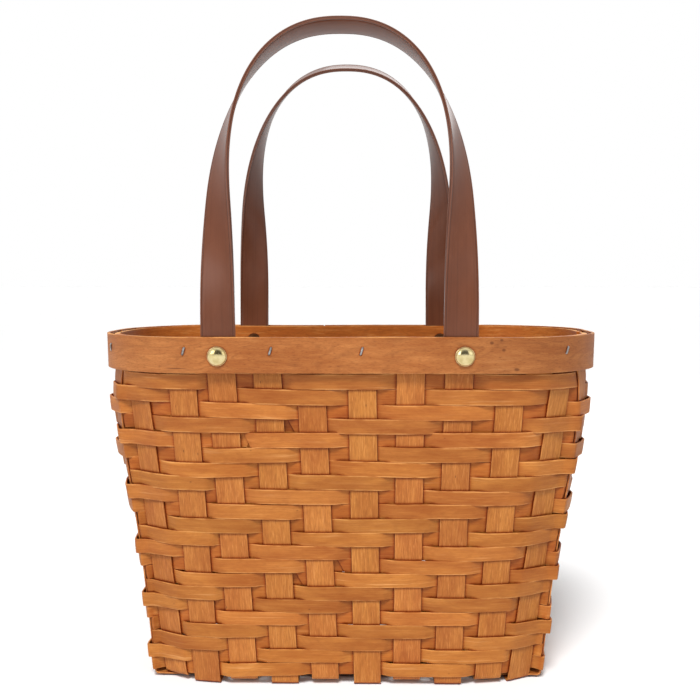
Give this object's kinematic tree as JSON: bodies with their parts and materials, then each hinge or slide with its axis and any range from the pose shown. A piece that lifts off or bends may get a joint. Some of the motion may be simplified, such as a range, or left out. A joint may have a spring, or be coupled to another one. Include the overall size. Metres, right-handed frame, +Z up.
{
  "type": "woven basket",
  "caption": "Oblong tapered basket of woven split-wood strips with a riveted and stapled rim and two upright strap handles; carries or holds a potted plant.",
  "frame": {"origin": "under the middle of the rim, on the surface that the basket stands on", "axes": "+Z up, the front with the nearer handle faces -Y, +X to the right seen from the front"},
  "size_m": [0.2829, 0.143, 0.3675],
  "materials": {
    "stake_wood": "split veneer with a satin clear coat",
    "weaver_wood": "split veneer with a satin clear coat",
    "rim_wood": "sliced veneer with a satin clear coat",
    "strap": "satin brown with dark edges",
    "rivet_brass": "polished dome",
    "staple_steel": "plain wire"
  },
  "bodies": {
    "basket": {"cross_stake_01": "stake_wood", "cross_stake_02": "stake_wood", "cross_stake_03": "stake_wood", "cross_stake_04": "stake_wood", "cross_stake_05": "stake_wood", "cross_stake_06": "stake_wood", "cross_stake_07": "stake_wood", "cross_stake_08": "stake_wood", "cross_stake_09": "stake_wood", "cross_stake_10": "stake_wood", "long_stake_01": "stake_wood", "long_stake_02": "stake_wood", "long_stake_03": "stake_wood", "long_stake_04": "stake_wood", "weaver_01": "weaver_wood", "weaver_02": "weaver_wood", "weaver_03": "weaver_wood", "weaver_04": "weaver_wood", "weaver_05": "weaver_wood", "weaver_06": "weaver_wood", "weaver_07": "weaver_wood", "weaver_08": "weaver_wood", "weaver_09": "weaver_wood", "weaver_10": "weaver_wood", "weaver_11": "weaver_wood", "weaver_12": "weaver_wood", "weaver_13": "weaver_wood", "weaver_14": "weaver_wood", "weaver_15": "weaver_wood", "weaver_16": "weaver_wood", "weaver_17": "weaver_wood", "weaver_18": "weaver_wood", "weaver_19": "weaver_wood", "weaver_20": "weaver_wood", "weaver_21": "weaver_wood", "weaver_22": "weaver_wood", "outer_rim_band": "rim_wood", "inner_rim_band": "rim_wood", "front_strap_end_left": "strap", "front_strap_end_right": "strap", "back_strap_end_left": "strap", "back_strap_end_right": "strap", "front_rivet_left": "rivet_brass", "front_rivet_right": "rivet_brass", "back_rivet_left": "rivet_brass", "back_rivet_right": "rivet_brass", "rim_staple_01": "staple_steel", "rim_staple_02": "staple_steel", "rim_staple_03": "staple_steel", "rim_staple_04": "staple_steel", "rim_staple_05": "staple_steel", "rim_staple_06": "staple_steel", "rim_staple_07": "staple_steel", "rim_staple_08": "staple_steel", "rim_staple_09": "staple_steel", "rim_staple_10": "staple_steel", "rim_staple_11": "staple_steel", "rim_staple_12": "staple_steel"},
    "front_handle": {"front_handle_strap": "strap"},
    "back_handle": {"back_handle_strap": "strap"}
  },
  "joints": [
    {"name": "front_handle_swing", "type": "hinge", "parent": "basket", "child": "front_handle", "pos_m": [-0.00515, -0.06699, 0.20084], "axis": [1, 0, 0], "range_deg": [-14, 110], "stiffness_Nm_per_rad": 0.06},
    {"name": "back_handle_swing", "type": "hinge", "parent": "basket", "child": "back_handle", "pos_m": [-0.0032, 0.06699, 0.20084], "axis": [-1, 0, 0], "range_deg": [-14, 110], "stiffness_Nm_per_rad": 0.06}
  ]
}
